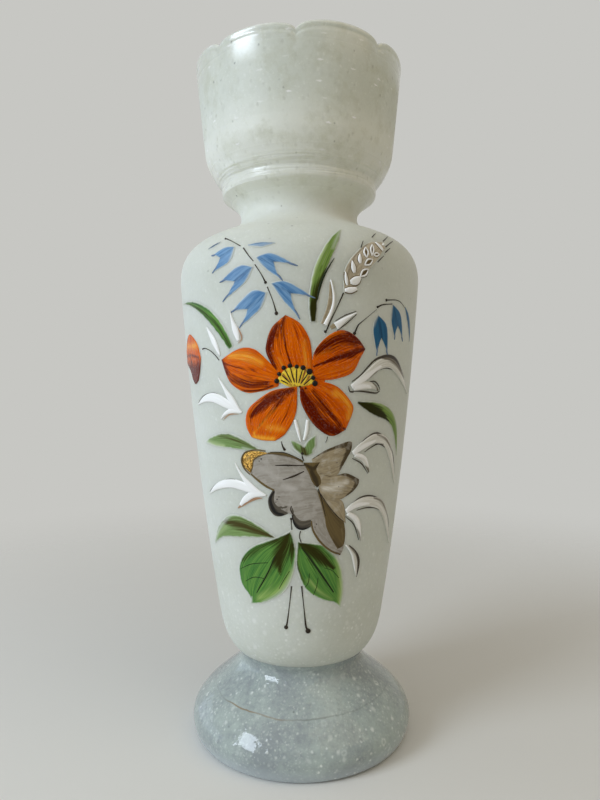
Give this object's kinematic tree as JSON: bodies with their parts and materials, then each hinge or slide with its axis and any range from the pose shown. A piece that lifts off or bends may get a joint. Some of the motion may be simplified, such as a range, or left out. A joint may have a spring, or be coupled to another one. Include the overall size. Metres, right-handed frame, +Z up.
{
  "type": "vase",
  "caption": "Tall footed glass vase for cut flowers: tapered body, round shoulder, narrow neck, lobed crown, hollow domed foot, with a raised enamel bouquet and butterfly on the front.",
  "frame": {"origin": "centre of the ground ring under the foot, on the surface that the vase stands on", "axes": "+Z up along the axis of the vase; the painted side faces -Y and +X is to the right of someone who looks at it"},
  "size_m": [0.1094, 0.1099, 0.304],
  "materials": {
    "satin_glass": "satin acid-etched opaline glass",
    "foot_glass": "glossy fire-polished opaline glass with seeds",
    "orange_enamel": "glossy fired enamel, orange streaked red-brown",
    "yellow_enamel": "fired enamel, mustard yellow",
    "green_enamel": "thin fired enamel wash, leaf green",
    "dark_green_enamel": "thin fired enamel wash, olive to near black",
    "blue_enamel": "thin fired enamel wash, sky blue",
    "deep_blue_enamel": "thin fired enamel wash, deep blue",
    "white_enamel": "thick raised fired enamel, white",
    "grey_enamel": "thin fired enamel wash, mauve grey",
    "brown_enamel": "thin fired enamel wash, brown",
    "taupe_enamel": "thin fired enamel wash, taupe",
    "black_enamel": "fired enamel, black brown",
    "gilding": "fired gold, grainy and slightly worn"
  },
  "bodies": {
    "root": {"applied_foot": "foot_glass", "bluebell_left_1": "blue_enamel", "bluebell_left_2": "blue_enamel", "bluebell_left_3": "blue_enamel", "bluebell_left_4": "blue_enamel", "bluebell_left_5": "blue_enamel", "bluebell_left_6": "blue_enamel", "bluebell_left_7": "blue_enamel", "bluebell_right_1": "deep_blue_enamel", "bluebell_right_2": "deep_blue_enamel", "bluebell_right_3": "deep_blue_enamel", "butterfly_body": "black_enamel", "butterfly_edge_bottom": "black_enamel", "butterfly_edge_left": "black_enamel", "butterfly_far_wing_lower": "taupe_enamel", "butterfly_far_wing_middle": "taupe_enamel", "butterfly_far_wing_upper": "taupe_enamel", "butterfly_gilt_tip": "gilding", "butterfly_near_wing": "grey_enamel", "butterfly_near_wing_lower": "taupe_enamel", "butterfly_wing_fold": "brown_enamel", "flower_heart": "yellow_enamel", "flower_sepals": "green_enamel", "grass_blade": "dark_green_enamel", "leaf_bottom_left": "green_enamel", "leaf_bottom_right": "green_enamel", "leaf_lower_left": "green_enamel", "leaf_middle_left": "green_enamel", "leaf_right": "dark_green_enamel", "leaf_upper_left": "green_enamel", "petal_left": "orange_enamel", "petal_lower_left": "orange_enamel", "petal_lower_right": "orange_enamel", "petal_top": "orange_enamel", "petal_upper_right": "orange_enamel", "side_bud": "orange_enamel", "vase_body": "satin_glass", "wheat_ear": "taupe_enamel", "white_arc_lower": "white_enamel", "white_arc_top": "white_enamel", "white_arc_upper": "white_enamel", "white_blade_left": "white_enamel", "white_blade_right": "white_enamel", "white_drop_left": "white_enamel", "white_leaf_right": "white_enamel", "white_spray_lower": "white_enamel", "white_spray_upper": "white_enamel", "white_sprig_bottom": "white_enamel", "white_stroke_left": "white_enamel", "white_stroke_right": "white_enamel"}
  },
  "joints": []
}
